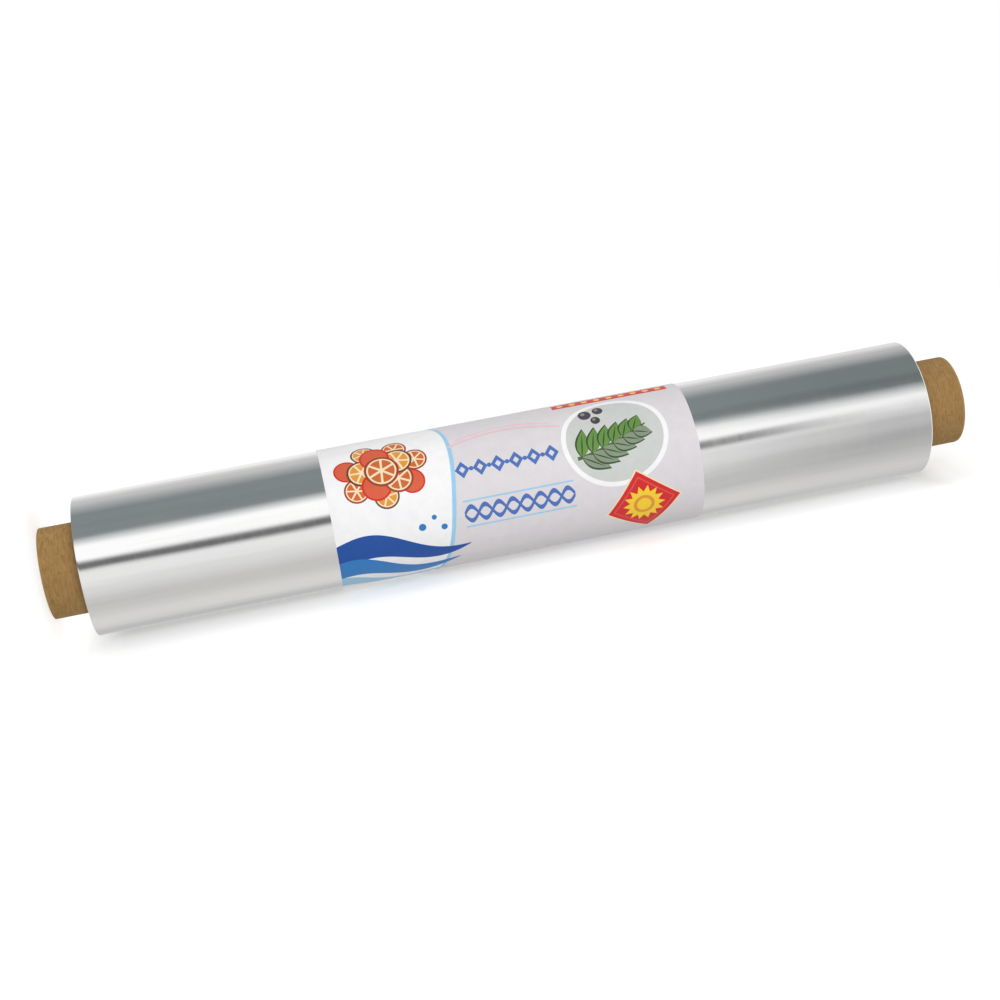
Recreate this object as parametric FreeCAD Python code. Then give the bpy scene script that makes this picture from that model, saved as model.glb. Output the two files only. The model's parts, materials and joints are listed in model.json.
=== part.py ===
"""Household aluminium foil roll on a cardboard core, held shut by a paper label band.

Millimetres. The roll stands on one end of its core: the origin is the centre of that end,
+Z runs along the core's axis, and the label's front faces -Y.
"""

import FreeCAD
import Part

import math
import os

from FreeCAD import Vector

# Core: a spirally wound cardboard tube that stands out past the foil at both ends.
CORE_BORE_DIAMETER = 28.0
CORE_WALL = 2.0
CORE_LOWER_OVERHANG = 13.5
CORE_UPPER_OVERHANG = 16.5
CORE_EDGE_BREAK = 0.3

# Seam: the narrow gap between the edges of the core's outer ply, which climbs as a helix.
SEAM_RISE_PER_TURN = 65.0
SEAM_WIDTH = 0.7
SEAM_DEPTH = 0.25
SEAM_START_ANGLE = 85.0

# Foil: the wound strip, as one solid.
FOIL_WIDTH = 300.0
WOUND_THICKNESS = 8.5
FREE_EDGE_STEP = 0.12
FREE_EDGE_ANGLE = 150.0

# Turns that show on each end of the roll as one spiral ridge.
TURN_PITCH = 1.0
TURN_RIDGE_WIDTH = 0.5
TURN_RIDGE_HEIGHT = 0.2
TURN_MARGIN = 0.35

# Label: one strip of paper, wrapped round the roll and glued where its ends overlap.
LABEL_WIDTH = 130.0
LABEL_THICKNESS = 0.15
LABEL_CLEARANCE = 0.03
LABEL_GLUE_GAP = 0.03
LABEL_OVERLAP = 15.0
LABEL_SEAM_ANGLE = 80.0

CORE_BORE_RADIUS = CORE_BORE_DIAMETER / 2
CORE_RADIUS = CORE_BORE_RADIUS + CORE_WALL
CORE_LENGTH = CORE_LOWER_OVERHANG + FOIL_WIDTH + CORE_UPPER_OVERHANG
ROLL_RADIUS = CORE_RADIUS + WOUND_THICKNESS
ROLL_BOTTOM = CORE_LOWER_OVERHANG
ROLL_MIDDLE = ROLL_BOTTOM + FOIL_WIDTH / 2

ORIGIN = Vector(0, 0, 0)
UP = Vector(0, 0, 1)


def spiral_arcs(first_radius, pitch, sweep):
    """Tangent half-circle arcs that grow outwards by one pitch a turn, over a sweep in degrees.

    The half-circles take turns at two centres on the X axis, a half pitch apart, so that each
    one starts where the last one ends, in the same direction.
    """
    arcs = []
    turned = 0.0
    while turned < sweep - 1e-9:
        half_turn = len(arcs)
        centre = Vector(-pitch / 4 if half_turn % 2 == 0 else pitch / 4, 0, 0)
        radius = first_radius + half_turn * pitch / 2
        part_sweep = min(180.0, sweep - turned)
        points = []
        for share in (0.0, 0.5, 1.0):
            angle = math.radians(turned + share * part_sweep)
            points.append(centre + Vector(math.cos(angle), math.sin(angle), 0) * radius)
        arcs.append(Part.Arc(*points).toShape())
        turned += part_sweep
    return arcs


def start_of(arc):
    return arc.valueAt(arc.FirstParameter)


def end_of(arc):
    return arc.valueAt(arc.LastParameter)


def spiral_strip(first_radius, pitch, sweep, thickness):
    """The flat face of a strip whose inner side follows the spiral, cut square at both ends."""
    inner = spiral_arcs(first_radius, pitch, sweep)
    outer = spiral_arcs(first_radius + thickness, pitch, sweep)
    first_end = Part.LineSegment(start_of(inner[0]), start_of(outer[0])).toShape()
    last_end = Part.LineSegment(end_of(inner[-1]), end_of(outer[-1])).toShape()
    return Part.Face(Part.Wire(Part.__sortEdges__(inner + outer + [first_end, last_end])))


def turned_about_axis(shape, degrees):
    shape.rotate(ORIGIN, UP, degrees)
    return shape


def seam_cutter():
    """A V-shaped sweep along the core's outer ply seam, run on past both of its ends.

    The V is SEAM_WIDTH wide where it meets the core's surface, and twice that outside it.
    """
    run_on = SEAM_RISE_PER_TURN / 8
    path = Part.makeHelix(SEAM_RISE_PER_TURN, CORE_LENGTH + 2 * run_on, CORE_RADIUS)
    root = Vector(CORE_RADIUS - SEAM_DEPTH, 0, 0)
    upper_lip = Vector(CORE_RADIUS + SEAM_DEPTH, 0, SEAM_WIDTH)
    lower_lip = Vector(CORE_RADIUS + SEAM_DEPTH, 0, -SEAM_WIDTH)
    section = Part.makePolygon([root, upper_lip, lower_lip, root])
    climb = math.degrees(math.atan2(SEAM_RISE_PER_TURN, 2 * math.pi * CORE_RADIUS))
    section.rotate(Vector(CORE_RADIUS, 0, 0), Vector(1, 0, 0), climb)
    sweep = Part.BRepOffsetAPI.MakePipeShell(Part.Wire(path.Edges))
    sweep.setFrenetMode(True)
    sweep.add(section)
    sweep.build()
    sweep.makeSolid()
    cutter = sweep.shape()
    cutter.translate(UP * -run_on)
    return turned_about_axis(cutter, SEAM_START_ANGLE)


def core_tube():
    """The cardboard tube, with its cut edges a little rubbed down and its ply seam showing."""
    tube = Part.makeCylinder(CORE_RADIUS, CORE_LENGTH)
    tube = tube.cut(Part.makeCylinder(CORE_BORE_RADIUS, CORE_LENGTH))
    edge_break = min(CORE_EDGE_BREAK, CORE_WALL / 4)
    rims = [edge for edge in tube.Edges if isinstance(edge.Curve, Part.Circle)]
    return tube.makeChamfer(edge_break, rims).cut(seam_cutter())


def turn_ridge():
    """The spiral ridge of foil edges on one end of the roll, standing on the plane z = 0."""
    first_radius = CORE_RADIUS + TURN_MARGIN + TURN_PITCH / 4
    room = ROLL_RADIUS - FREE_EDGE_STEP - TURN_MARGIN - TURN_RIDGE_WIDTH - TURN_PITCH / 4
    half_turns = max(1, int(2 * (room - first_radius) / TURN_PITCH))
    face = spiral_strip(first_radius, TURN_PITCH, 180.0 * half_turns, TURN_RIDGE_WIDTH)
    return face.extrude(UP * TURN_RIDGE_HEIGHT)


def foil_roll():
    """The wound foil: a body whose last turn ends in a small step, and the turns on its ends."""
    outline = spiral_arcs(ROLL_RADIUS - FREE_EDGE_STEP, FREE_EDGE_STEP, 360.0)
    free_edge = Part.LineSegment(end_of(outline[-1]), start_of(outline[0])).toShape()
    section = Part.Face(Part.Wire(outline + [free_edge]))
    body_height = FOIL_WIDTH - 2 * TURN_RIDGE_HEIGHT
    body = section.extrude(UP * body_height)
    body = body.cut(Part.makeCylinder(CORE_RADIUS, body_height))

    upper_turns = turn_ridge()
    upper_turns.translate(UP * body_height)
    lower_turns = turn_ridge()
    lower_turns.translate(UP * -TURN_RIDGE_HEIGHT)
    roll = body.fuse([upper_turns, lower_turns])

    roll.translate(UP * (ROLL_BOTTOM + TURN_RIDGE_HEIGHT))
    return turned_about_axis(roll, FREE_EDGE_ANGLE)


def label_band():
    """The paper strip, once round the roll and on over its own start."""
    pitch = LABEL_THICKNESS + LABEL_GLUE_GAP
    first_radius = ROLL_RADIUS + LABEL_CLEARANCE + pitch / 4
    overlap = math.degrees(LABEL_OVERLAP / first_radius)
    strip = spiral_strip(first_radius, pitch, 360.0 + overlap, LABEL_THICKNESS)
    band = strip.extrude(UP * LABEL_WIDTH)
    band.translate(UP * (ROLL_MIDDLE - LABEL_WIDTH / 2))
    return turned_about_axis(band, LABEL_SEAM_ANGLE)


def save(shape, node):
    if not shape.isValid() or len(shape.Solids) != 1:
        raise ValueError(node + " is not one valid solid")
    shape.Solids[0].exportStep("parts/" + node + ".step")
    box = shape.optimalBoundingBox()
    print(node, "volume", round(shape.Volume, 1), "from z", round(box.ZMin, 3), "to", round(box.ZMax, 3))


os.makedirs("parts", exist_ok=True)
save(core_tube(), "core_tube")
save(foil_roll(), "foil_roll")
save(label_band(), "label_band")
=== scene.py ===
import json
import math

import bmesh
import bpy
from mathutils import Matrix, Vector, noise
from mathutils.geometry import delaunay_2d_cdt


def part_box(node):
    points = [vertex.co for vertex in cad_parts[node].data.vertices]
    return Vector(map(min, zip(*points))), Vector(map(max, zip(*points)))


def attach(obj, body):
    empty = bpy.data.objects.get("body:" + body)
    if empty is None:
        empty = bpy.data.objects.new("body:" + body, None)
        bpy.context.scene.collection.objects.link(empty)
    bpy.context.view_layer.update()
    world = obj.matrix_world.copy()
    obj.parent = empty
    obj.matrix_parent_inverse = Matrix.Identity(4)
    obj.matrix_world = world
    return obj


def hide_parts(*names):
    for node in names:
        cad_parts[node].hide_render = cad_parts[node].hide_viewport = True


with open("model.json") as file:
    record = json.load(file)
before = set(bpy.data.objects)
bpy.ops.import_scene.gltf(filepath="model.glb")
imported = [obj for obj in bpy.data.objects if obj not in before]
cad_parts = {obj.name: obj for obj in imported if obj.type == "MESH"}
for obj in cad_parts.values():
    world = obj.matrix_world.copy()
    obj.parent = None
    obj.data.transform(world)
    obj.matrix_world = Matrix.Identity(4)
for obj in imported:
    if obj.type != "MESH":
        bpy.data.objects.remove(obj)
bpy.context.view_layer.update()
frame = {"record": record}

# Units
MM = 0.001
TURN = math.tau

# Points closer than this are merged, and edges shorter than this are dissolved
MERGED_DISTANCE = 0.002 * MM
FLAT_DISTANCE = 0.001 * MM

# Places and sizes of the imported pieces
core_low, core_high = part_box("core_tube")
foil_low, foil_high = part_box("foil_roll")
label_low, label_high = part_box("label_band")
bore = next(mount for mount in frame["record"]["mounts"] if mount["name"] == "core_bore")

CORE_RADIUS = (core_high.x - core_low.x) / 2
CORE_LENGTH = core_high.z
BORE_RADIUS = bore["dims"]["r_mm"] * MM
ROLL_RADIUS = max(foil_high.x, -foil_low.x, foil_high.y, -foil_low.y)
FOIL_WIDTH = foil_high.z - foil_low.z
LABEL_WIDTH = label_high.z - label_low.z

# Core: paper plies wound on a slant, with a narrow gap where a ply's edges meet
PLY_RISE = 65 * MM
PLY_SEAM_ANGLE = math.radians(85)
PLY_GAP_WIDTH = 0.7 * MM
PLY_GAP_DEPTH = 0.25 * MM
PLIES = 5
PLY_LINE_WIDTH = 0.07 * MM
PLY_LINE_DEPTH = 0.06 * MM
CUT_ROUNDING = 0.28 * MM
CORE_COLUMNS = 180
PAPER_UNEVENNESS = 0.035 * MM
PAPER_LUMPS_PER_METRE = 260
GAP_COLUMNS = (-1.6, -1.0, -0.5, 0.0, 0.5, 1.0, 1.6)  # in half widths of the gap
WALL_ROW_HEIGHT = 0.75 * MM
HIDDEN_WALL_ROW_HEIGHT = 4 * MM
HIDDEN_BORE_ROW_HEIGHT = 2 * MM

# Wear on the core's cut ends, from 0 to 1, and how far up the wall it reaches
CORNER_WEAR = 1.0
RIM_WEAR = 0.8
CUT_WEAR = 0.6
WEAR_REACH = 0.8 * MM

# Kraft: painted shade darkens it towards the upper end, and a painted shadow darkens the outside next
# to the foil
KRAFT_UPPER_PAINTED_SHADE = 0.38
KRAFT_FOIL_PAINTED_SHADOW = 0.45
KRAFT_FOIL_SHADOW_REACH = 4.5 * MM

# Foil: the last turn, and the edges of the turns on both ends
FREE_EDGE_ANGLE = math.radians(150)
FREE_EDGE_STEP = 0.07 * MM
FOIL_CORE_GAP = 0.05 * MM
RIM_WIDTH = 0.22 * MM
RIM_ROUNDING = 0.05 * MM
END_RECESS = 0.2 * MM
RIM_HEIGHT = 0.5 * MM
HELD_MARGIN = 9 * MM
FREE_MARGIN = 14 * MM
FOIL_COLUMNS = 264
FOIL_ROW_HEIGHT = 2.5 * MM
TURN_PITCH = 0.27 * MM
TURN_WIDTH = 0.19 * MM

# Label: a paper strip, glued where its ends overlap at the back
LABEL_THICKNESS = 0.15 * MM
LABEL_CLEARANCE = 0.03 * MM
LABEL_GLUE_GAP = 0.03 * MM
LABEL_OVERLAP = 15 * MM
LABEL_SEAM_ANGLE = math.radians(80)
LABEL_COLUMN_WIDTH = 1.0 * MM
LABEL_ROW_HEIGHT = 6.5 * MM
FRONT_ANGLE = math.radians(270)


def linear(red, green, blue):
    """A colour given in 0 to 255, as light."""
    shares = (red / 255, green / 255, blue / 255)
    return tuple(((c + 0.055) / 1.055) ** 2.4 if c > 0.04 else c / 12.92 for c in shares)


class Tree:
    """Adds nodes to one tree, with their inputs set or linked by name or number."""

    def __init__(self, tree):
        self.tree = tree

    def feed(self, socket, value):
        if isinstance(value, bpy.types.NodeSocket):
            self.tree.links.new(value, socket)
        else:
            socket.default_value = value

    def add(self, kind, feeds=None, **settings):
        node = self.tree.nodes.new(kind)
        for name, value in settings.items():
            setattr(node, name, value)
        for key, value in (feeds or {}).items():
            self.feed(node.inputs[key], value)
        return node

    def result(self, kind, feeds=None, **settings):
        """Adds a node and gives its first output."""
        return self.add(kind, feeds, **settings).outputs[0]

    def maths(self, operation, *values):
        node = self.add("ShaderNodeMath", operation=operation)
        for socket, value in zip(node.inputs, values):
            self.feed(socket, value)
        return node.outputs["Value"]

    def plus(self, first, second):
        return self.maths("ADD", first, second)

    def minus(self, first, second):
        return self.maths("SUBTRACT", first, second)

    def times(self, first, second):
        return self.maths("MULTIPLY", first, second)

    def apart(self, first, second):
        """How far two values are from each other."""
        return self.maths("ABSOLUTE", self.minus(first, second))

    def from_axis(self, x, y):
        """How far a spot is from the upright axis."""
        return self.maths("SQRT", self.plus(self.times(x, x), self.times(y, y)))

    def mixed(self, share, first, second):
        """A colour between two others."""
        node = self.add("ShaderNodeMix", data_type="RGBA")
        self.feed(node.inputs[0], share)
        for socket, colour in ((node.inputs[6], first), (node.inputs[7], second)):
            self.feed(socket, colour if isinstance(colour, bpy.types.NodeSocket) else (*colour, 1.0))
        return node.outputs[2]

    def place(self):
        """Where a spot lies in its object."""
        return self.add("ShaderNodeTexCoord").outputs["Object"]

    def point(self, x, y, z):
        return self.result("ShaderNodeCombineXYZ", {"X": x, "Y": y, "Z": z})

    def split(self, vector):
        return self.add("ShaderNodeSeparateXYZ", {"Vector": vector}).outputs

    def grain(self, vector, scale, detail=2.0, roughness=0.5):
        """Smooth random values about 0.5."""
        feeds = {"Vector": vector, "Scale": scale, "Detail": detail, "Roughness": roughness}
        return self.result("ShaderNodeTexNoise", feeds)

    def span(self, value, low, high, new_low=0.0, new_high=1.0, smooth=False):
        """A value between low and high, moved to lie between two new ends."""
        feeds = {"Value": value, "From Min": low, "From Max": high}
        feeds |= {"To Min": new_low, "To Max": new_high}
        kind = "SMOOTHSTEP" if smooth else "LINEAR"
        return self.result("ShaderNodeMapRange", feeds, interpolation_type=kind)


class ShapeTree(Tree):
    """A Geometry Nodes tree whose sizes are named inputs."""

    def __init__(self, name, **sizes):
        super().__init__(bpy.data.node_groups.new(name, "GeometryNodeTree"))
        face = self.tree.interface
        face.new_socket("Geometry", in_out="INPUT", socket_type="NodeSocketGeometry")
        face.new_socket("Geometry", in_out="OUTPUT", socket_type="NodeSocketGeometry")
        for label, value in sizes.items():
            kind = "NodeSocketInt" if isinstance(value, int) else "NodeSocketFloat"
            face.new_socket(label, in_out="INPUT", socket_type=kind).default_value = value
        self.given = self.add("NodeGroupInput").outputs

    def kept(self, name, kind="FLOAT"):
        """A value that the mesh carries under a name."""
        return self.result("GeometryNodeInputNamedAttribute", {"Name": name}, data_type=kind)

    def lumps(self, vector, scale, detail):
        """Smooth random values about 0.5, others for each seed."""
        feeds = {"Vector": vector, "W": self.given["Seed"], "Scale": scale, "Detail": detail}
        return self.result("ShaderNodeTexNoise", feeds, noise_dimensions="4D")

    def moved(self, geometry, by):
        feeds = {"Geometry": geometry, "Translation": by}
        return self.result("GeometryNodeTransform", feeds)

    def end(self, geometry, finishes):
        """Realizes the shape and sets its materials, each with the faces that it is for."""
        last = self.result("GeometryNodeRealizeInstances", {"Geometry": geometry})
        for material, faces in finishes:
            feeds = {"Geometry": last, "Selection": faces, "Material": material}
            last = self.result("GeometryNodeSetMaterial", feeds)
        self.add("NodeGroupOutput", {"Geometry": last})
        return self.tree


def mesh_of(name, shell):
    """Ends a shape's editing and keeps it as a mesh."""
    mesh = bpy.data.meshes.new(name)
    shell.to_mesh(mesh)
    shell.free()
    return mesh


def piece_of(name, mesh):
    piece = bpy.data.objects.new(name, mesh)
    bpy.context.scene.collection.objects.link(piece)
    return piece


def shaped(piece, tree, **sizes):
    """Runs a tree over a piece, with its sizes by name, and keeps the result as a plain mesh."""
    modifier = piece.modifiers.new(tree.name, "NODES")
    modifier.node_group = tree
    for socket in tree.interface.items_tree:
        if socket.in_out == "INPUT" and socket.name in sizes:
            modifier[socket.identifier] = sizes[socket.name]
    bpy.context.view_layer.update()
    graph = bpy.context.evaluated_depsgraph_get()
    solid = piece.evaluated_get(graph)
    mesh = bpy.data.meshes.new_from_object(solid, preserve_all_data_layers=True, depsgraph=graph)
    piece.modifiers.remove(modifier)
    piece.data = mesh
    return piece


def cleaned(piece, edge_angle):
    """Merges doubles, turns the faces outwards and keeps edges over an angle in degrees crisp."""
    shell = bmesh.new()
    shell.from_mesh(piece.data)
    bmesh.ops.remove_doubles(shell, verts=shell.verts, dist=MERGED_DISTANCE)
    bmesh.ops.dissolve_degenerate(shell, edges=shell.edges, dist=FLAT_DISTANCE)
    bmesh.ops.recalc_face_normals(shell, faces=shell.faces)
    for face in shell.faces:
        face.smooth = True
    shell.to_mesh(piece.data)
    shell.free()
    piece.data.set_sharp_from_angle(angle=math.radians(edge_angle))
    return piece


def fitted(piece, node):
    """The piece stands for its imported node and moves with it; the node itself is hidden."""
    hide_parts(node)
    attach(piece, "root")


# Finishes


def emptied(holder):
    """The node tree of a material or a world, with nothing in it yet."""
    holder.use_nodes = True
    holder.node_tree.nodes.clear()
    return holder.node_tree


class Finish(Tree):
    """A new material and its shader, with the even values set."""

    def __init__(self, name, **looks):
        self.material = bpy.data.materials.new(name)
        super().__init__(emptied(self.material))
        feeds = {name.replace("_", " "): value for name, value in looks.items()}
        self.shader = self.add("ShaderNodeBsdfPrincipled", feeds)
        self.add("ShaderNodeOutputMaterial", {"Surface": self.shader.outputs["BSDF"]})

    def end(self, colour, rough, height, distance):
        """Gives the shader its colour and roughness, and a relief of some depth."""
        relief = self.result("ShaderNodeBump", {"Height": height, "Distance": distance})
        for name, value in (("Base Color", colour), ("Roughness", rough), ("Normal", relief)):
            self.feed(self.shader.inputs[name], value)
        return self.material


def bright_foil():
    """Bright rolled aluminium: lines along the strip, and faint draw marks across it."""
    looks = {"Metallic": 1.0, "Anisotropic": 0.55, "Anisotropic_Rotation": 0.25}
    tree = Finish("bright_foil", **looks)
    around, along, _ = tree.split(tree.result("ShaderNodeUVMap", uv_map="strip"))
    rolling = tree.grain(tree.point(tree.times(around, 6), tree.times(along, 900), 0), 1.0, 3)
    drawing = tree.grain(tree.point(tree.times(around, 320), tree.times(along, 4), 7), 1.0, 2)
    streaks = tree.grain(tree.point(tree.times(around, 210), tree.times(along, 7), 21), 1.0, 4, 0.6)
    cloud = tree.grain(tree.place(), 45.0, 3)
    silver = tree.mixed(cloud, linear(240, 241, 242), linear(246, 245, 243))
    silver = tree.mixed(tree.span(streaks, 0.5, 0.72, 0.0, 0.5), silver, linear(226, 227, 226))
    rough = tree.span(cloud, 0.35, 0.65, 0.12, 0.15)
    rough = tree.plus(rough, tree.span(rolling, 0.3, 0.7, -0.015, 0.02))
    rough = tree.plus(rough, tree.span(streaks, 0.5, 0.72, 0.0, 0.03))
    round_axis = tree.result("ShaderNodeTangent", direction_type="RADIAL", axis="Z")
    tree.feed(tree.shader.inputs["Tangent"], round_axis)
    height = tree.plus(tree.times(rolling, 0.25), drawing)
    return tree.end(silver, rough, height, 0.006 * MM)


def foil_edges():
    """The cut edges of the turns: duller than the face, with a ring for each few turns."""
    tree = Finish("foil_edges", Metallic=1.0)
    place = tree.place()
    x, y, z = tree.split(place)
    out = tree.from_axis(x, y)
    rings = tree.grain(tree.point(tree.times(out, 9000), tree.times(z, 20), 0), 1.0, 3)
    broad = tree.grain(tree.point(tree.times(out, 1500), 3, 0), 1.0, 2)
    specks = tree.grain(place, 2600.0, 2)
    tone = tree.plus(tree.times(rings, 0.6), tree.times(broad, 0.4))
    silver = tree.mixed(tree.span(tone, 0.35, 0.65), linear(196, 197, 199), linear(236, 236, 236))
    rough = tree.span(specks, 0.3, 0.7, 0.3, 0.46)
    return tree.end(silver, rough, tree.plus(rings, tree.times(specks, 0.5)), 0.03 * MM)


def kraft_board():
    """Brown kraft paper: fibres along the ply, pale and dark flecks, a dark gap and dark ply lines."""
    tree = Finish("kraft_board", Specular_IOR_Level=0.25)
    place = tree.place()
    strip = tree.result("ShaderNodeUVMap", uv_map="strip")
    slant = math.atan2(PLY_RISE, TURN * CORE_RADIUS)
    feeds = {"Vector": strip, "Rotation": (0, 0, -slant), "Scale": (260, 1500, 1)}
    fibres = tree.grain(tree.result("ShaderNodeMapping", feeds), 1.0, 4, 0.65)
    cloud = tree.grain(place, 90.0, 3)
    fuzz = tree.grain(place, 2300.0, 3, 0.6)
    flecks = tree.grain(place, 760.0, 1)
    brown = tree.mixed(tree.span(fibres, 0.3, 0.7), linear(155, 120, 70), linear(199, 160, 104))
    x, y, height = tree.split(place)
    # Painted shade: the kraft is darkened more and more towards the upper end
    upper = tree.span(height, 0.0, CORE_LENGTH, 0.0, KRAFT_UPPER_PAINTED_SHADE)
    # Painted shadow: the outside of the core is darkened next to the foil's ends, where the foil would
    # shade it
    from_ends = [tree.apart(height, end) for end in (foil_low.z, foil_high.z)]
    from_foil = tree.maths("MINIMUM", *from_ends)
    painted_shadow_by_foil = tree.span(from_foil, 0.0, KRAFT_FOIL_SHADOW_REACH, KRAFT_FOIL_PAINTED_SHADOW, 0.0, smooth=True)
    middle_of_wall = (BORE_RADIUS + CORE_RADIUS) / 2
    outside = tree.maths("GREATER_THAN", tree.from_axis(x, y), middle_of_wall)
    worn = tree.add("ShaderNodeAttribute", attribute_name="cut_edge").outputs["Fac"]
    dark = tree.add("ShaderNodeAttribute", attribute_name="ply_gap").outputs["Fac"]
    layers = (
        (tree.span(cloud, 0.3, 0.7, 0.0, 0.35), (150, 116, 66)),
        (tree.span(flecks, 0.66, 0.74, 0.0, 0.4), (120, 82, 42)),
        (tree.span(flecks, 0.34, 0.26, 0.0, 0.35), (206, 176, 128)),
        # painted shade towards the upper end
        (upper, (98, 72, 42)),
        # painted shadow on the outside next to the foil
        (tree.times(painted_shadow_by_foil, outside), (88, 62, 36)),
        (tree.times(worn, tree.span(fuzz, 0.3, 0.7, 0.15, 0.7)), (203, 171, 122)),
        (tree.times(dark, 0.62), (72, 47, 24)),
    )
    for share, colour in layers:
        brown = tree.mixed(share, brown, linear(*colour))
    rough = tree.span(fuzz, 0.3, 0.7, 0.72, 0.92)
    return tree.end(brown, rough, tree.plus(fibres, tree.times(fuzz, 0.8)), 0.05 * MM)


def printed_paper(name, ink):
    """Satin paper under one ink, with the paper's mottle and fibres showing faintly through."""
    tree = Finish("paper_" + name, Specular_IOR_Level=0.4)
    place = tree.place()
    mottle = tree.grain(place, 300.0, 2)
    fibres = tree.grain(place, 3200.0, 3, 0.6)
    deeper = tuple(0.975 * c for c in ink)
    lighter = tuple(min(0.86, 1.02 * c + 0.003) for c in ink)
    colour = tree.mixed(tree.span(mottle, 0.3, 0.7), deeper, lighter)
    colour = tree.mixed(tree.span(fibres, 0.55, 0.75, 0.0, 0.14), colour, lighter)
    return tree.end(colour, tree.span(mottle, 0.3, 0.7, 0.38, 0.47), fibres, 0.014 * MM)


# Core


def core_columns():
    """Angles from the ply gap, close together across it and even elsewhere."""
    slant = math.atan2(PLY_RISE, TURN * CORE_RADIUS)
    half_gap = PLY_GAP_WIDTH / 2 / math.sin(slant) / CORE_RADIUS
    across = [half_gap * share for share in GAP_COLUMNS]
    even = CORE_COLUMNS - len(across)
    step = (TURN - across[-1] + across[0]) / (even + 1)
    angles = across + [across[-1] + step * (count + 1) for count in range(even)]
    depths = [max(0.0, 1 - abs(angle) / half_gap) for angle in angles]
    return angles, depths


def cut_end_rings(height, inwards):
    """Rings across one cut end: rounded corners, and a fine line between each two plies.

    Each ring is its radius, its height, how dark its line is and how worn it is.
    """
    wall = CORE_RADIUS - BORE_RADIUS
    corner = 0.3 * CUT_ROUNDING
    rings = [(CORE_RADIUS - corner, corner, 0.0, CORNER_WEAR)]
    rings.append((CORE_RADIUS - CUT_ROUNDING, 0.0, 0.0, RIM_WEAR))
    for ply in range(PLIES - 1, 0, -1):
        line = BORE_RADIUS + wall * ply / PLIES
        rings.append((line + PLY_LINE_WIDTH, 0.0, 0.0, CUT_WEAR))
        rings.append((line, PLY_LINE_DEPTH, 1.0, 0.0))
        rings.append((line - PLY_LINE_WIDTH, 0.0, 0.0, CUT_WEAR))
    rings.append((BORE_RADIUS + CUT_ROUNDING, 0.0, 0.0, RIM_WEAR))
    rings.append((BORE_RADIUS + corner, corner, 0.0, CORNER_WEAR))
    return [(radius, height + inwards * depth, gap, worn) for radius, depth, gap, worn in rings]


def wall_heights(hidden_step):
    """Heights up the wall: close together where the core stands out, and wider inside the foil."""
    marks = (CUT_ROUNDING, foil_low.z, foil_high.z, CORE_LENGTH - CUT_ROUNDING)
    steps = (WALL_ROW_HEIGHT, hidden_step, WALL_ROW_HEIGHT)
    heights = []
    for start, stop, step in zip(marks, marks[1:], steps):
        count = math.ceil((stop - start) / step)
        heights += [start + (stop - start) * number / count for number in range(count)]
    return heights + [marks[-1]]


def kraft_core():
    """The tube, as rings of points that turn with the plies as they climb."""
    angles, depths = core_columns()
    outside = [(CORE_RADIUS, height, 0.0, 0.0) for height in wall_heights(HIDDEN_WALL_ROW_HEIGHT)]
    inside = [(BORE_RADIUS, height, 0.0, 0.0) for height in wall_heights(HIDDEN_BORE_ROW_HEIGHT)]
    rings = outside + cut_end_rings(CORE_LENGTH, -1)
    rings += inside[::-1] + cut_end_rings(0.0, 1)[::-1]

    shell = bmesh.new()
    gap_layer = shell.verts.layers.float.new("ply_gap")
    worn_layer = shell.verts.layers.float.new("cut_edge")
    strip_layer = shell.loops.layers.uv.new("strip")
    rows = []
    for radius, height, line, worn in rings:
        row = []
        on_outside = radius > CORE_RADIUS - 1e-6
        on_wall = on_outside or radius < BORE_RADIUS + 1e-6
        for angle, depth in zip(angles, depths):
            turned = PLY_SEAM_ANGLE + angle + TURN * height / PLY_RISE
            flat = Vector((math.cos(turned), math.sin(turned), 0))
            climb = Vector((0, 0, height))
            lump = 0.5 + 0.5 * noise.noise((flat * radius + climb) * PAPER_LUMPS_PER_METRE)
            cut = depth * PLY_GAP_DEPTH + PAPER_UNEVENNESS * lump if on_wall else 0.0
            out = radius - cut if on_outside else radius + cut
            vert = shell.verts.new(flat * out + climb)
            vert[gap_layer] = max(line, depth if on_wall else 0.0)
            near_end = min(height, CORE_LENGTH - height)
            vert[worn_layer] = max(worn, 1 - near_end / WEAR_REACH) if on_wall else worn
            row.append(vert)
        rows.append(row)

    count = len(angles)
    for number, row in enumerate(rows):
        above = rows[(number + 1) % len(rows)]
        for column in range(count):
            after = (column + 1) % count
            face = shell.faces.new((row[column], row[after], above[after], above[column]))
            wrapped = [angles[column], angles[after] + (TURN if after == 0 else 0)]
            for loop, angle in zip(face.loops, (wrapped[0], wrapped[1], wrapped[1], wrapped[0])):
                height = loop.vert.co.z
                radius = loop.vert.co.xy.length
                around = (angle + TURN * height / PLY_RISE) * CORE_RADIUS
                loop[strip_layer].uv = (around, height + CORE_RADIUS - radius)
    mesh = mesh_of("kraft_core", shell)
    mesh.materials.append(kraft_board())
    return cleaned(piece_of("kraft_core", mesh), edge_angle=40)


# Foil and label: strips that are made flat and then wound


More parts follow.
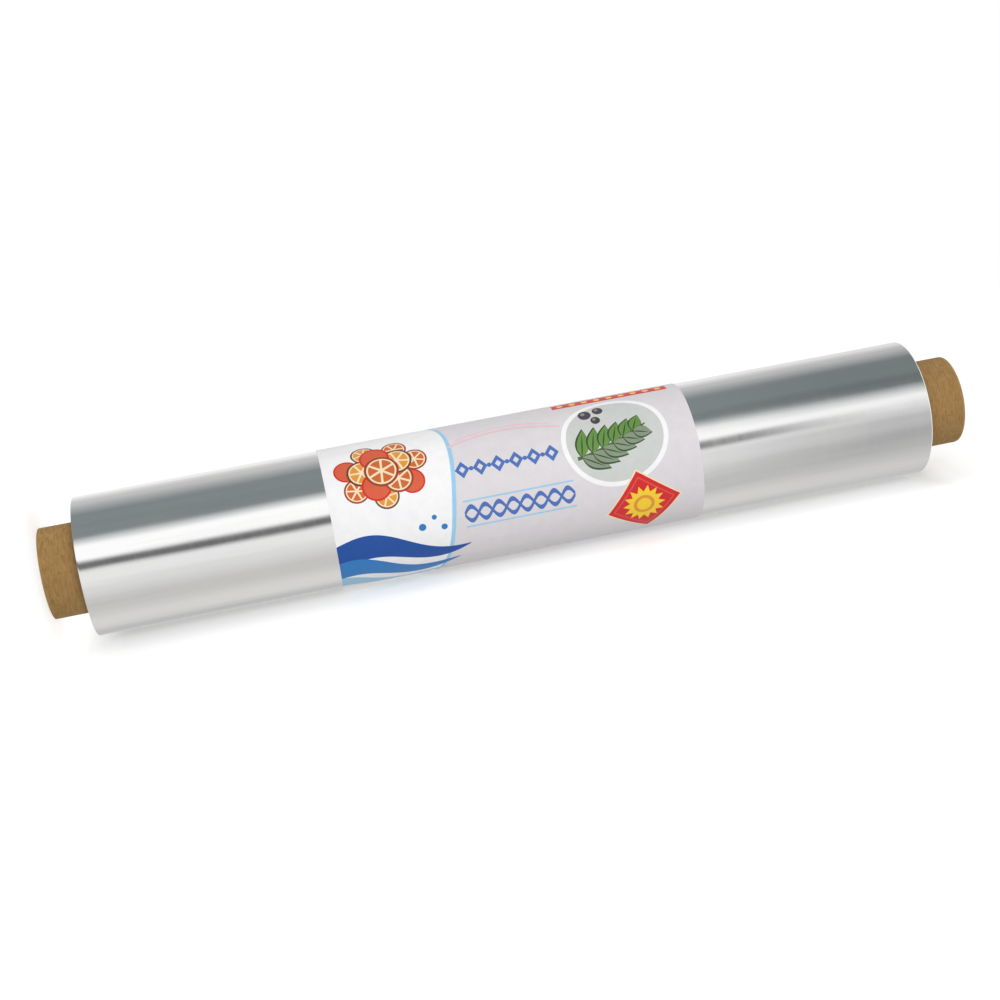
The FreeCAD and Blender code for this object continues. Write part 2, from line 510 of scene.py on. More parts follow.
def winding_tree(name, finishes):
    """Winds a flat strip: X runs along the strip, Y across it and Z outwards from the roll."""
    tree = ShapeTree(
        name,
        Turn_radius=ROLL_RADIUS,
        Start_angle=0.0,
        Growth_per_turn=0.0,
        Bottom=0.0,
        Wave_depth=0.0,
        Wave_length_round=14 * MM,
        Wave_length_along=90 * MM,
        Width=FOIL_WIDTH,
        Even_margin=8 * MM,
        Strip_length=TURN * ROLL_RADIUS,
        Edge_lift=0.0,
        Edge_reach=5 * MM,
        Held_width=LABEL_WIDTH,
        Held_share=1.0,
        Seed=1,
    )
    given = tree.given
    along, across, out = tree.split(tree.result("GeometryNodeInputPosition"))
    lift = tree.kept("lift")
    wound = tree.maths("DIVIDE", along, given["Turn_radius"])
    angle = tree.plus(given["Start_angle"], wound)
    cosine, sine = tree.maths("COSINE", angle), tree.maths("SINE", angle)
    grown = tree.times(tree.times(wound, 1 / TURN), given["Growth_per_turn"])
    plain = tree.plus(tree.plus(given["Turn_radius"], out), tree.times(grown, lift))

    round_scale = tree.maths("DIVIDE", given["Turn_radius"], given["Wave_length_round"])
    spot = tree.point(
        tree.times(cosine, round_scale),
        tree.times(sine, round_scale),
        tree.maths("DIVIDE", across, given["Wave_length_along"]),
    )
    waves = tree.lumps(spot, 1.0, 1.5)
    from_end = tree.maths("MINIMUM", across, tree.minus(given["Width"], across))
    share = tree.span(from_end, 0.0, given["Even_margin"], smooth=True)
    waves = tree.span(waves, 0.25, 0.75)
    dent = tree.times(tree.times(waves, given["Wave_depth"]), share)
    from_middle = tree.apart(across, tree.times(given["Width"], 0.5))
    held = tree.times(given["Held_width"], 0.5)
    past_held = tree.plus(held, HELD_MARGIN)
    share = tree.span(from_middle, held, past_held, given["Held_share"], 1.0, smooth=True)
    dent = tree.times(dent, share)

    to_edge = tree.minus(given["Strip_length"], along)
    rise = tree.minus(1.0, tree.span(to_edge, 0.0, given["Edge_reach"], smooth=True))
    free = tree.span(from_middle, held, tree.plus(held, FREE_MARGIN), smooth=True)
    uneven = tree.lumps(tree.point(0, 0, across), 45.0, 1.0)
    rise = tree.times(tree.times(rise, free), tree.span(uneven, 0.3, 0.7, 0.25, 1.0))
    rise = tree.times(tree.times(rise, given["Edge_lift"]), lift)

    radius = tree.plus(tree.minus(plain, dent), rise)
    place = tree.point(
        tree.times(cosine, radius),
        tree.times(sine, radius),
        tree.plus(across, given["Bottom"]),
    )
    feeds = {"Geometry": given["Geometry"], "Position": place}
    return tree.end(tree.result("GeometryNodeSetPosition", feeds), finishes(tree))


def foil_profile():
    """Points across the last turn: height, depth in from the outside, and 1 where it grows."""
    bore = ROLL_RADIUS - CORE_RADIUS - FOIL_CORE_GAP
    count = round(FOIL_WIDTH / FOIL_ROW_HEIGHT)
    lower = [(END_RECESS, bore, 0), (END_RECESS, RIM_WIDTH, 1), (0, RIM_WIDTH, 1), (0, RIM_ROUNDING, 1)]
    lower += [(RIM_ROUNDING, 0, 1), (RIM_HEIGHT, 0, 1)]
    side = [(FOIL_WIDTH * number / count, 0, 1) for number in range(1, count)]
    upper = [(FOIL_WIDTH - height, depth, lift) for height, depth, lift in lower[::-1]]
    return lower + side + upper


def flat_foil():
    """The last turn laid flat, with the end faces and the inside folded under it.

    Its last column is joined to its first one, which closes the step at the free edge.
    """
    shell = bmesh.new()
    lift_layer = shell.verts.layers.float.new("lift")
    strip_layer = shell.loops.layers.uv.new("strip")
    profile = foil_profile()
    turn = TURN * (ROLL_RADIUS - FREE_EDGE_STEP)
    columns = []
    for number in range(FOIL_COLUMNS + 1):
        column = []
        for height, depth, lift in profile:
            vert = shell.verts.new((turn * number / FOIL_COLUMNS, height, -depth))
            vert[lift_layer] = lift
            column.append(vert)
        columns.append(column)
    for number in range(FOIL_COLUMNS + 1):
        here, after = columns[number], columns[(number + 1) % len(columns)]
        for row in range(len(profile)):
            over = (row + 1) % len(profile)
            face = shell.faces.new((here[row], after[row], after[over], here[over]))
            for loop in face.loops:
                loop[strip_layer].uv = loop.vert.co.xy
    return mesh_of("wound_foil", shell)


def turn_edges_tree(finish_of_edges):
    """The edges of the turns on both ends: one spiral ridge each, a little uneven in height."""
    tree = ShapeTree(
        "Turn edges",
        Inner_radius=CORE_RADIUS,
        Outer_radius=ROLL_RADIUS,
        Pitch=TURN_PITCH,
        Ridge_width=TURN_WIDTH,
        Ridge_height=END_RECESS,
        Lower_end=foil_low.z,
        Upper_end=foil_high.z,
        Unevenness=0.1 * MM,
        Points_per_turn=96,
        Seed=4,
    )
    given = tree.given
    room = tree.minus(given["Outer_radius"], given["Inner_radius"])
    turns = tree.maths("FLOOR", tree.maths("DIVIDE", room, given["Pitch"]))
    feeds = {
        "Resolution": given["Points_per_turn"],
        "Rotations": turns,
        "Start Radius": given["Inner_radius"],
        "End Radius": given["Outer_radius"],
        "Height": 0.0,
    }
    spiral = tree.result("GeometryNodeCurveSpiral", feeds)
    spot = tree.result("GeometryNodeInputPosition")
    heights = tree.lumps(spot, 420.0, 2.0)
    low = tree.times(tree.times(heights, given["Unevenness"]), -1)
    drop = tree.point(0, 0, low)
    uneven = tree.result("GeometryNodeSetPosition", {"Geometry": spiral, "Offset": drop})
    feeds = {"Width": given["Ridge_width"], "Height": given["Ridge_height"]}
    section = tree.result("GeometryNodeCurvePrimitiveQuadrilateral", feeds)
    feeds = {"Curve": uneven, "Profile Curve": section, "Fill Caps": True}
    ridge = tree.result("GeometryNodeCurveToMesh", feeds)

    half = tree.times(given["Ridge_height"], 0.5)
    lift = tree.point(0, 0, tree.minus(given["Upper_end"], half))
    upper = tree.moved(ridge, lift)
    feeds = {"Geometry": ridge, "Rotation": (math.pi, 0, 0)}
    lower = tree.result("GeometryNodeTransform", feeds)
    lift = tree.point(0, 0, tree.plus(given["Lower_end"], half))
    lower = tree.moved(lower, lift)

    joined = tree.add("GeometryNodeJoinGeometry")
    for part in (lower, upper):
        tree.tree.links.new(part, joined.inputs["Geometry"])
    return tree.end(joined.outputs["Geometry"], [(finish_of_edges, True)])


def wound_foil():
    """The foil on the roll: the outer turn with its free edge, and the edges of all the turns."""
    edges = foil_edges()

    def foil_finishes(tree):
        up = tree.split(tree.result("GeometryNodeInputNormal"))["Z"]
        ends = tree.maths("GREATER_THAN", tree.maths("ABSOLUTE", up), 0.5)
        return [(bright_foil(), True), (edges, ends)]

    piece = piece_of("wound_foil", flat_foil())
    shaped(
        piece,
        winding_tree("Wound foil", foil_finishes),
        Turn_radius=ROLL_RADIUS - FREE_EDGE_STEP,
        Start_angle=FREE_EDGE_ANGLE,
        Growth_per_turn=FREE_EDGE_STEP,
        Bottom=foil_low.z,
        Wave_depth=0.085 * MM,
        Wave_length_round=15 * MM,
        Wave_length_along=95 * MM,
        Width=FOIL_WIDTH,
        Even_margin=9 * MM,
        Strip_length=TURN * (ROLL_RADIUS - FREE_EDGE_STEP),
        Edge_lift=0.22 * MM,
        Edge_reach=6 * MM,
        Held_share=0.2,
        Seed=3,
    )
    cleaned(piece, edge_angle=50)

    turns = shaped(
        piece_of("turn_edges", bpy.data.meshes.new("turn_edges")),
        turn_edges_tree(edges),
        Inner_radius=CORE_RADIUS + FOIL_CORE_GAP + TURN_WIDTH / 2,
        Outer_radius=ROLL_RADIUS - RIM_WIDTH - FREE_EDGE_STEP - TURN_WIDTH / 2,
    )
    cleaned(turns, edge_angle=50)
    with bpy.context.temp_override(active_object=piece, selected_editable_objects=[piece, turns]):
        bpy.ops.object.join()
    return piece


# Artwork of the label, in millimetres and degrees: along the roll from the label's lower edge,
# and up from the line down its front


def turned_to(along, up, turned, outline):
    """An outline about the origin, turned and put in its place."""
    cosine, sine = math.cos(math.radians(turned)), math.sin(math.radians(turned))
    return [(along + x * cosine - y * sine, up + x * sine + y * cosine) for x, y in outline]


def spoke(along, up, reach, angle):
    """The spot at some reach from a middle."""
    return along + reach * math.cos(angle), up + reach * math.sin(angle)


def ring_points(along, up, reach_along, reach_up=None, turned=0.0, points=36):
    reach_up = reach_up or reach_along
    angles = [TURN * number / points for number in range(points)]
    ring = [(reach_along * math.cos(angle), reach_up * math.sin(angle)) for angle in angles]
    return turned_to(along, up, turned, ring)


def leaf_points(along, up, length, width, turned, points=12):
    """A leaf from its stalk, with two curved sides that meet in a tip."""
    shares = [number / points for number in range(points + 1)]
    side = [(length * s, width / 2 * math.sin(math.pi * s ** 0.8)) for s in shares]
    return turned_to(along, up, turned, side + [(x, -y) for x, y in side[-2:0:-1]])


def star_points(along, up, outer, inner, rays):
    reaches = (outer, inner)
    return [spoke(along, up, reaches[n % 2], math.pi * n / rays) for n in range(2 * rays)]


def wedge_points(along, up, inner, outer, start, stop, points=5):
    """A piece of a ring between two angles."""
    shares = [number / points for number in range(points + 1)]
    angles = [math.radians(start + (stop - start) * share) for share in shares]
    middle = math.radians((start + stop) / 2)
    outline = [spoke(along, up, outer, angle) for angle in angles]
    return outline + [spoke(along, up, inner, middle)]


def band_points(start, stop, middle, width, points=40):
    """A band along a curve: middle and width give its height and breadth at each share of the way."""
    shares = [number / points for number in range(points + 1)]
    upper = [(start + (stop - start) * s, middle(s) + width(s) / 2) for s in shares]
    lower = [(start + (stop - start) * s, middle(s) - width(s) / 2) for s in reversed(shares)]
    return upper + lower


def warm_slices():
    """A heap of round slices in warm colours, each with a rind, a paler ring and wedges of flesh."""
    heap = []
    for number in range(13):
        ring = 0 if number > 11 else (1 if number > 6 else 2)
        angle = math.radians(number * (52 if ring == 2 else 72) + ring * 31)
        along = 20 + (0, 6.8, 12.2)[ring] * math.cos(angle)
        up = 13.5 + (0, 6.0, 9.6)[ring] * math.sin(angle)
        size = (6.0, 5.2, 4.4)[ring]
        rind, flesh, pith = (
            ("brick", "orange", "cream"),
            ("brown", "amber", "cream"),
            ("red", "pale_red", "orange"),
        )[number % 3]
        heap.append((rind, ring_points(along, up, size, points=30)))
        heap.append((pith, ring_points(along, up, size * 0.86, points=28)))
        for wedge in range(6):
            start = 60 * wedge + 17 * number + 5
            part = wedge_points(along, up, size * 0.14, size * 0.76, start, start + 50)
            heap.append((flesh, part))
    return heap


def blue_waves():
    """Three blue waves that run in from the label's lower edge and die out, and drops over them."""
    waves = []
    for number, ink in enumerate(("deep_blue", "blue", "pale_blue")):
        base = -15.0 - 8.2 * number

        def middle(share, base=base, number=number):
            return base + 3.0 * math.sin(TURN * 0.95 * share + 0.7 * number) - 3.0 * share

        def width(share, number=number):
            return (9.2 - 1.4 * number) * (1 - share ** 2.4) + 0.3

        waves.append((ink, band_points(0.0, 46 - 4 * number, middle, width)))
    for along, up, size in ((30, -9.0, 1.3), (34.5, -6.2, 0.9), (37.5, -10.2, 1.1)):
        waves.append(("blue", ring_points(along, up, size, points=18)))
    return waves


def blue_rows():
    """Two ornamental rows: lozenges with dots between them, and a rope of two crossed waves."""
    rows = []
    for number in range(6):
        along = 47 + 6.3 * number
        rows.append(("mid_blue", star_points(along, 8, 2.6, 3.1, 2)))
        rows.append(("silver", star_points(along, 8, 1.1, 1.25, 2)))
        if number < 5:
            rows.append(("mid_blue", ring_points(along + 3.15, 8, 0.8, points=14)))
    for shift in (0.0, 0.5):

        def middle(share, shift=shift):
            return -7.5 + 2.5 * math.sin(TURN * (4 * share + shift))

        rows.append(("mid_blue", band_points(45, 84, middle, lambda share: 1.7, 96)))
    for up in (-2.9, -12.1):
        line = band_points(45, 84, lambda share, up=up: up, lambda share: 0.6, 8)
        rows.append(("pale_blue", line))
    for start, stop, foot, rise, width in ((44, 84, 18, 3.5, 0.9), (47, 81, 20.5, 3.0, 0.5)):

        def arch(share, foot=foot, rise=rise):
            return foot + rise * math.sin(math.pi * share)

        rows.append(("pink", band_points(start, stop, arch, lambda share, width=width: width)))
    return rows


def green_sprig():
    """A sprig of leaves with a few berries, on a pale panel with a white border."""
    sprig = [("white", ring_points(101.5, 9.5, 19.0, 17.5, 10, 48))]
    sprig.append(("pale_grey", ring_points(101.5, 9.5, 17.3, 15.8, 10, 48)))

    def stem(share):
        return 4.0 + 8.5 * share ** 1.4

    sprig.append(("stem_green", band_points(87, 113, stem, lambda share: 1.3 - 0.7 * share)))
    for number in range(6):
        share = 0.06 + 0.15 * number
        along, up = 87 + 26 * share, stem(share)
        length = 11.0 - 0.8 * number
        for side, ink in ((1, "green"), (-1, "grey_green")):
            turned = 24 + side * (54 - 3 * number)
            sprig.append(("dark_green", leaf_points(along, up, length, 4.9, turned)))
            sprig.append((ink, leaf_points(along + 0.25, up + 0.15, length * 0.93, 4.1, turned)))
            sprig.append(("dark_green", leaf_points(along, up, length * 0.8, 0.5, turned)))
    for along, up, size in ((93.5, 21.0, 2.3), (98.5, 22.2, 1.9), (96.6, 17.6, 1.7)):
        sprig.append(("plum", ring_points(along, up, size, points=22)))
        shine = ring_points(along - 0.2 * size, up + 0.3 * size, size * 0.35, points=12)
        sprig.append(("grey_green", shine))
    return sprig


def red_tile():
    """A red tile with a yellow sun on it, and a red border strip with yellow dots at the top."""
    tile = []
    for ink, reach in (("cream", 14.0), ("red", 13.2), ("pale_red", 11.2), ("red", 10.6)):
        tile.append((ink, ring_points(108, -17, reach, turned=8, points=4)))
    tile.append(("yellow", star_points(108, -17, 7.6, 5.2, 14)))
    tile.append(("amber", ring_points(108, -17, 3.8, points=28)))
    tile.append(("yellow", ring_points(108, -17, 2.6, points=24)))
    tile.append(("red", band_points(84, 126, lambda s: 31.2, lambda s: 4.6, 12)))
    for number in range(9):
        tile.append(("yellow", ring_points(87 + 4.5 * number, 31.2, 1.15, points=14)))
    return tile


def white_field():
    """The white field at the label's lower edge: its border swings in to the edge at the back."""
    border = []
    for number in range(41):
        share = number / 20 - 1
        swing = 4.5 * math.sin(2.4 * share) * (1 - share * share)
        border.append((42 * (1 - abs(share) ** 3.2) - swing, -66 * share))
    inner = [(max(0.0, along - 0.2), up) for along, up in border]
    outer = [(along + 1.3 * (1 - (up / 66) ** 2), up) for along, up in border[1:-1]]
    return [("pale_blue", [(0.0, 66.0)] + outer + [(0.0, -66.0)]), ("white", inner)]


# Inks, in 0 to 255
INKS = {
    "silver": (212, 208, 211),
    "white": (236, 236, 238),
    "pale_grey": (196, 199, 196),
    "cream": (236, 216, 180),
    "deep_blue": (20, 74, 152),
    "blue": (40, 118, 186),
    "pale_blue": (150, 196, 226),
    "mid_blue": (72, 108, 176),
    "pink": (226, 186, 195),
    "brick": (150, 60, 36),
    "brown": (106, 58, 32),
    "orange": (200, 98, 46),
    "amber": (218, 146, 50),
    "red": (206, 34, 42),
    "pale_red": (212, 84, 66),
    "yellow": (244, 202, 46),
    "green": (98, 138, 66),
    "stem_green": (70, 96, 50),
    "dark_green": (46, 76, 42),
    "grey_green": (128, 142, 120),
    "plum": (74, 62, 76),
}


def counterclockwise(outline):
    pairs = zip(outline, outline[1:] + outline[:1])
    return outline if sum(a[0] * b[1] - b[0] * a[1] for a, b in pairs) > 0 else outline[::-1]


def flat_label():
    """The strip laid flat, its printed face cut along the artwork, and its back and edges plain."""
    start_radius = ROLL_RADIUS + LABEL_CLEARANCE + LABEL_THICKNESS
    length = TURN * start_radius + LABEL_OVERLAP
    front = (FRONT_ANGLE - LABEL_SEAM_ANGLE) * start_radius
    shapes = [("silver", [(0, 0), (length, 0), (length, LABEL_WIDTH), (0, LABEL_WIDTH)])]
    artwork = (white_field, blue_waves, warm_slices, blue_rows, green_sprig, red_tile)
    for ink, outline in [shape for motif in artwork for shape in motif()]:
        shapes.append((ink, [(front - up * MM, along * MM) for along, up in outline]))

    points, faces, edges = [], [], []
    for _, outline in shapes:
        faces.append(list(range(len(points), len(points) + len(outline))))
        points += [Vector(spot) for spot in counterclockwise(outline)]
    columns = math.ceil(length / LABEL_COLUMN_WIDTH)
    for number in range(1, columns):
        along = length * number / columns
        edges.append((len(points), len(points) + 1))
        points += [Vector((along, 0)), Vector((along, LABEL_WIDTH))]
    rows = round(LABEL_WIDTH / LABEL_ROW_HEIGHT)
    for number in range(1, rows):
        across = LABEL_WIDTH * number / rows
        edges.append((len(points), len(points) + 1))
        points += [Vector((0, across)), Vector((length, across))]
    spots, _, triangles, _, _, owners = delaunay_2d_cdt(points, edges, faces, 1, FLAT_DISTANCE)

    shell = bmesh.new()
    lift_layer = shell.verts.layers.float.new("lift")
    ink_layer = shell.faces.layers.int.new("ink")
    names = list(INKS)
    fronts = [shell.verts.new((spot.x, spot.y, 0)) for spot in spots]
    backs = [shell.verts.new((spot.x, spot.y, -LABEL_THICKNESS)) for spot in spots]
    for vert in shell.verts:
        vert[lift_layer] = 1.0
    for triangle, owner in zip(triangles, owners):
        face = shell.faces.new([fronts[corner] for corner in triangle])
        face[ink_layer] = names.index(shapes[max(owner)][0])
    rims = [edge for edge in shell.edges if edge.is_boundary]
    other_side = dict(zip(fronts, backs))
    for triangle in triangles:
        shell.faces.new([backs[corner] for corner in reversed(triangle)])
    for edge in rims:
        first, second = edge.verts
        shell.faces.new((first, second, other_side[second], other_side[first]))
    bmesh.ops.recalc_face_normals(shell, faces=shell.faces)
    plain = names.index("white")
    for face in shell.faces:
        if face.normal.z < 0.5:
            face[ink_layer] = plain
    return mesh_of("paper_label", shell)


def paper_label():
    """The printed strip, wound once round the roll and on over its own start."""

    def label_finishes(tree):
        ink = tree.kept("ink", "INT")
        finishes = []
        for number, (name, colour) in enumerate(INKS.items()):
            same = tree.maths("COMPARE", ink, number, 0.1)
            finishes.append((printed_paper(name, linear(*colour)), same))
        return finishes

    piece = piece_of("paper_label", flat_label())
    shaped(
        piece,
        winding_tree("Wound label", label_finishes),
        Turn_radius=ROLL_RADIUS + LABEL_CLEARANCE + LABEL_THICKNESS,
        Start_angle=LABEL_SEAM_ANGLE,
        Growth_per_turn=LABEL_THICKNESS + LABEL_GLUE_GAP,
        Bottom=label_low.z,
        Wave_depth=0.015 * MM,
        Wave_length_round=22 * MM,
        Wave_length_along=40 * MM,
        Width=LABEL_WIDTH,
        Even_margin=2 * MM,
        Seed=8,
    )
    return cleaned(piece, edge_angle=50)


# Studio

CAMERA_PLACE = Vector((0, -571.8, 87.0)) * MM
CAMERA_AIM = Vector((4.9, 0, 159.3)) * MM
CAMERA_ROLL = 0.1926
FOCAL_LENGTH = 58.07
FILM_WIDTH = 36.0
LIGHT_FROM_ABOVE = 0.5
LIGHT_FROM_BELOW = 0.62
HORIZON = (-0.3, 0.3)


def camera():
    """The camera, turned on its side so that the standing roll lies across the picture."""
    data = bpy.data.cameras.new("camera")
    data.sensor_width = FILM_WIDTH
    data.lens = FOCAL_LENGTH
    back = (CAMERA_PLACE - CAMERA_AIM).normalized()
    along = (Vector((0, 0, 1)) - back * back.z).normalized()
    side = back.cross(along)
    right = along * math.cos(CAMERA_ROLL) - side * math.sin(CAMERA_ROLL)
    up = along * math.sin(CAMERA_ROLL) + side * math.cos(CAMERA_ROLL)
    holder = bpy.data.objects.new("camera", data)
    turned = Matrix((right, up, back)).transposed().to_4x4()
    holder.matrix_world = Matrix.Translation(CAMERA_PLACE) @ turned
    bpy.context.scene.collection.objects.link(holder)
    bpy.context.scene.camera = holder


# Cards round the roll that metal mirrors. Each one is its start and stop, in degrees from the
# front towards -X, its shade and its tint. The upper row is duller than the lower one, and its
# dark cards reach further round. Both rows lean a little, down to LEAN_STOPS.
CARD_REACH = 2.4
CARD_FOOT = -24.0
CARD_HEAD = 2.4
ROWS_MEET = (0.72, 1.2)
CARD_LEAN = math.radians(2.0)
LEAN_STOPS = -3.0
WARM, PLAIN, COOL = (1.0, 0.99, 0.97), (1.0, 1.0, 1.0), (0.86, 0.99, 1.0)
LOWER_CARDS = (
    (-180, -178, 0.64, PLAIN),
    (-170, -166, 0.62, PLAIN),
    (-155, -140, 0.54, PLAIN),
    (-118, -100, 0.72, WARM),
    (-77, -62, 0.60, WARM),
    (-24, -11, 0.87, PLAIN),
    (11, 32, 1.09, PLAIN),
    (48, 92, 0.265, COOL),
    (122, 128, 0.58, PLAIN),
    (150, 168, 0.90, PLAIN),
    (178, 180, 0.64, PLAIN),
)
UPPER_CARDS = (
    (-180, -178, 0.60, PLAIN),
    (-170, -166, 0.62, PLAIN),
    (-155, -140, 0.57, PLAIN),
    (-118, -100, 0.65, WARM),
    (-61, -57, 0.46, PLAIN),
    (-50, -40, 0.42, PLAIN),
    (-24, -12, 0.52, PLAIN),
    (-6, -4, 0.65, PLAIN),
    (6, 8, 0.86, PLAIN),
    (13, 21, 0.97, PLAIN),
    (43, 57, 0.175, COOL),
    (66, 98, 0.215, COOL),
    (124, 130, 0.52, PLAIN),
    (150, 168, 0.78, PLAIN),
    (178, 180, 0.60, PLAIN),
)

# The dark gap between the front cards: its bearing, how it drifts between two heights, how far
# its sides run out, how dark it is, and the heights between which its top fades out
GAP_BEARING = math.radians(0.75)
GAP_LOWER_DRIFT = (-0.18, 0.14, 0.0, math.radians(-2))
GAP_UPPER_DRIFT = (0.2, 0.9, 0.0, math.radians(6.5))
GAP_SIDES = (math.radians(2.5), math.radians(11))
GAP_DARKNESS = 0.856
GAP_TOP = (0.9, 1.12)


def seen_directly(tree):
    """1 for what the camera, a mirror or clear glass shows, and 0 for light that falls on things."""
    path = tree.add("ShaderNodeLightPath").outputs
    seen = tree.maths("MAXIMUM", path["Is Camera Ray"], path["Is Glossy Ray"])
    return tree.maths("MAXIMUM", seen, path["Is Transmission Ray"])


def white_world():
    """White wherever it is seen, and a soft grey light on everything, a little more from below."""
    world = bpy.data.worlds.new("studio")
    bpy.context.scene.world = world
    tree = Tree(emptied(world))
    height = tree.split(tree.add("ShaderNodeTexCoord").outputs["Generated"])["Z"]
    above = tree.span(height, *HORIZON, smooth=True)
    light = tree.mixed(above, (LIGHT_FROM_BELOW,) * 3, (LIGHT_FROM_ABOVE,) * 3)
    colour = tree.mixed(seen_directly(tree), light, (1.0, 1.0, 1.0))
    background = tree.result("ShaderNodeBackground", {"Color": colour})
    tree.add("ShaderNodeOutputWorld", {"Surface": background})


def stage_piece(name, shell, material, hidden_from):
    """A piece of the stage, which some kinds of ray don't see."""
    mesh = mesh_of(name, shell)
    mesh.materials.append(material)
    piece = piece_of(name, mesh)
    for ray in hidden_from:
        setattr(piece, "visible_" + ray, False)
    return piece


def stage_material(name):
    material = bpy.data.materials.new(name)
    material.cycles.emission_sampling = "NONE"
    return material, Tree(emptied(material))


def front_gap(tree, bearing, height):
    """How dark the gap between the front cards is: it leans as it climbs, and closes at its top."""
    drift = tree.plus(tree.span(height, *GAP_LOWER_DRIFT), tree.span(height, *GAP_UPPER_DRIFT))
    away = tree.apart(bearing, tree.plus(drift, GAP_BEARING))
    gap = tree.span(away, *GAP_SIDES, GAP_DARKNESS, 0.0, smooth=True)
    return tree.times(gap, tree.span(height, *GAP_TOP, 1.0, 0.0, smooth=True))


def card_row(tree, cards, bearing):
    """The shades of one row of cards, which run into each other where they leave a gap."""
    share = tree.plus(tree.maths("DIVIDE", bearing, TURN), 0.5)
    ramp = tree.add("ShaderNodeValToRGB", {"Fac": share})
    stops = ramp.color_ramp.elements
    marks = []
    for start, stop, shade, tint in cards:
        colour = (*(shade * share for share in tint), 1.0)
        marks += [(start / 360 + 0.5, colour), (stop / 360 + 0.5, colour)]
    for mark, colour in marks[1:-1]:
        stops.new(mark).color = colour
    stops[0].color = marks[0][1]
    stops[len(stops) - 1].color = marks[-1][1]
    return ramp.outputs["Color"]


def studio_cards():
    """Two rows of pale and dark cards in a ring round the roll, which show only in its metal."""
    shell = bmesh.new()
    placed = Matrix.Translation((0, 0, (CARD_HEAD + CARD_FOOT) / 2))
    sizes = {"radius1": CARD_REACH, "radius2": CARD_REACH, "depth": CARD_HEAD - CARD_FOOT}
    bmesh.ops.create_cone(shell, segments=180, cap_ends=False, matrix=placed, **sizes)
    material, tree = stage_material("card_shades")
    x, y, z = tree.split(tree.place())
    bearing = tree.maths("ARCTAN2", tree.times(x, -1), tree.times(y, -1))
    leaning = tree.times(tree.maths("MAXIMUM", z, LEAN_STOPS), CARD_LEAN)
    bearing = tree.plus(bearing, leaning)
    upper = tree.span(z, *ROWS_MEET, smooth=True)
    rows = [card_row(tree, cards, bearing) for cards in (LOWER_CARDS, UPPER_CARDS)]
    shades = tree.mixed(upper, *rows)
    shades = tree.mixed(front_gap(tree, bearing, z), shades, (0.0, 0.0, 0.0))
    glow = tree.result("ShaderNodeEmission", {"Color": shades})
    tree.add("ShaderNodeOutputMaterial", {"Surface": glow})
    hidden_from = ("camera", "diffuse", "transmission", "shadow")
    ring = stage_piece("studio_cards", shell, material, hidden_from)


def lamp(name, bearing, reach, height, size, watts):
    """A square lamp that shines on the roll's middle and stays out of its reflections."""
    data = bpy.data.lights.new(name, "AREA")
    data.shape = "SQUARE"
    data.size = size
    data.energy = watts
    holder = bpy.data.objects.new(name, data)
    turned = math.radians(bearing)
    holder.location = (-reach * math.sin(turned), -reach * math.cos(turned), height)
    aim = holder.location - Vector((0, 0, CORE_LENGTH / 2))
    holder.rotation_euler = aim.to_track_quat("Z", "Y").to_euler()
    holder.visible_camera = False
    holder.visible_glossy = False
    bpy.context.scene.collection.objects.link(holder)


FLOOR_REACH = 0.45
FLOOR_FADE_START = 0.22
FLOOR_FADE_END = 0.98 * FLOOR_REACH
FLOOR_SHADE = 0.9
FLOOR_GLOW = 0.52
SHEET_TURN = math.radians(15)
SHEET_GAP = 0.5 * MM
SHEET_HALF_WIDTH = 0.4
SHEET_HEIGHT = 0.75
SHEET_SHADE = 0.62
SHEET_GLOW = 0.55
# Painted shadow on the sheet: its glow drops to this near the roll's contact line, over these reaches
SHEET_PAINTED_SHADOW_GLOW = 0.24
SHEET_PAINTED_SHADOW_REACH = (5 * MM, 24 * MM)
SHEET_PAINTED_SHADOW_END_REACH = (-8 * MM, 12 * MM)
SHEET_FOOT_FADE = 25 * MM
SHEET_SIDE_FADE = 0.12
SHEET_HEAD_FADE = CORE_LENGTH + 0.05

# Lamps: name, bearing in degrees from the front towards -X, reach, height, size and watts
LAMPS = (
    ("key", 12, 1.0, 0.03, 0.6, 5.8),
    ("top", 84, 1.3, 0.2, 0.5, 2.4),
    ("right", -62, 1.5, 0.1, 0.9, 2.2),
    ("back", 190, 1.5, 0.5, 0.9, 9),
)


def white_surface(tree, shade, glow, fade):
    """White where it is lit, a soft grey where the roll's shadow falls, and clear where it fades."""
    white = tree.result("ShaderNodeBsdfDiffuse", {"Color": (shade, shade, shade, 1)})
    strength = tree.times(seen_directly(tree), glow)
    own = tree.result("ShaderNodeEmission", {"Strength": strength})
    lit = tree.result("ShaderNodeAddShader", {0: white, 1: own})
    clear = tree.result("ShaderNodeBsdfTransparent")
    shown = tree.result("ShaderNodeMixShader", {0: fade, 1: lit, 2: clear})
    tree.add("ShaderNodeOutputMaterial", {"Surface": shown})


def pale_floor():
    """A white floor that fades into the background, and keeps the roll's shadow."""
    shell = bmesh.new()
    bmesh.ops.create_circle(shell, cap_ends=True, segments=96, radius=FLOOR_REACH)
    material, tree = stage_material("floor_white")
    x, y, _ = tree.split(tree.place())
    reach = tree.from_axis(x, y)
    fade = tree.span(reach, FLOOR_FADE_START, FLOOR_FADE_END, smooth=True)
    white_surface(tree, FLOOR_SHADE, FLOOR_GLOW, fade)
    floor = stage_piece("floor", shell, material, ("glossy",))


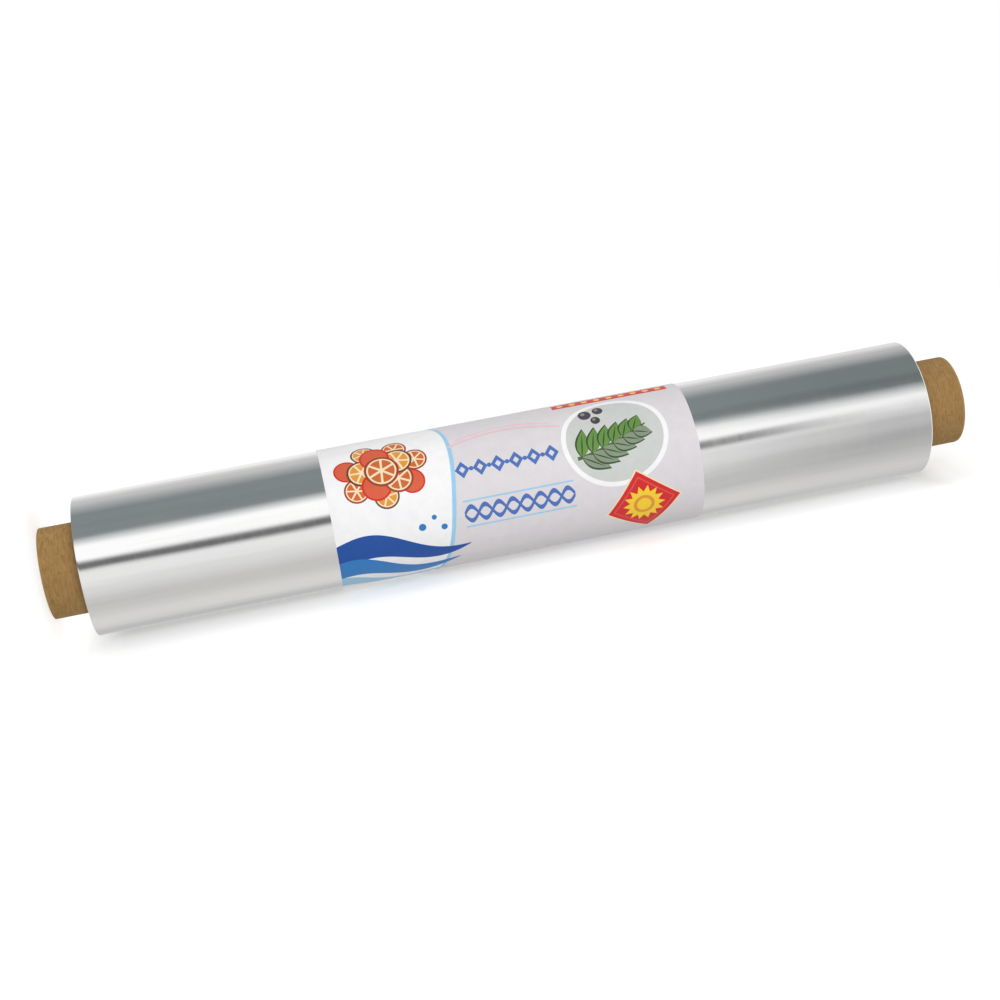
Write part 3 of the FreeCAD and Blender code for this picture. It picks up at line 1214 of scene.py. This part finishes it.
def backing_sheet():
    """A white sheet that the roll leans close to, for its soft shadow, partly real and partly painted.
    From behind it is clear.
    """
    away = Vector((math.cos(SHEET_TURN), math.sin(SHEET_TURN), 0))
    across = Vector((-math.sin(SHEET_TURN), math.cos(SHEET_TURN), 0))
    middle = away * (ROLL_RADIUS + LABEL_CLEARANCE + 2 * LABEL_THICKNESS + LABEL_GLUE_GAP + SHEET_GAP)
    shell = bmesh.new()
    corners = []
    for side, top in ((-1, 0), (-1, 1), (1, 1), (1, 0)):
        foot = middle + across * side * SHEET_HALF_WIDTH
        corners.append(shell.verts.new(foot + Vector((0, 0, SHEET_HEIGHT * top))))
    shell.faces.new(corners)
    material, tree = stage_material("sheet_white")
    x, y, z = tree.split(tree.place())
    side = tree.plus(tree.times(x, across.x), tree.times(y, across.y))
    from_line = tree.maths("ABSOLUTE", side)
    fade = tree.span(from_line, SHEET_SIDE_FADE, SHEET_HALF_WIDTH, smooth=True)
    fade = tree.maths("MAXIMUM", fade, tree.span(z, SHEET_HEAD_FADE, SHEET_HEIGHT, smooth=True))
    fade = tree.maths("MAXIMUM", fade, tree.span(z, 0.0, SHEET_FOOT_FADE, 1.0, 0.0, smooth=True))
    fade = tree.maths("MAXIMUM", fade, tree.add("ShaderNodeNewGeometry").outputs["Backfacing"])
    # Painted shadow: less glow near the line where the roll leans on the sheet, fading out past the
    # foil's ends
    from_contact = tree.span(from_line, *SHEET_PAINTED_SHADOW_REACH)
    from_middle = tree.apart(z, (foil_low.z + foil_high.z) / 2)
    near, far = (FOIL_WIDTH / 2 + reach for reach in SHEET_PAINTED_SHADOW_END_REACH)
    past_ends = tree.span(from_middle, near, far, smooth=True)
    clear_of_painted_shadow = tree.maths("MAXIMUM", from_contact, past_ends)
    glow = tree.span(clear_of_painted_shadow, 0.0, 1.0, SHEET_PAINTED_SHADOW_GLOW, SHEET_GLOW)
    white_surface(tree, SHEET_SHADE, glow, fade)
    hidden_from = ("diffuse", "glossy", "transmission", "shadow")
    sheet = stage_piece("backing_sheet", shell, material, hidden_from)


camera()
white_world()
studio_cards()
for numbers in LAMPS:
    lamp(*numbers)
pale_floor()
backing_sheet()

fitted(kraft_core(), "core_tube")
fitted(wound_foil(), "foil_roll")
fitted(paper_label(), "label_band")

bpy.context.scene.view_settings.view_transform = "Standard"
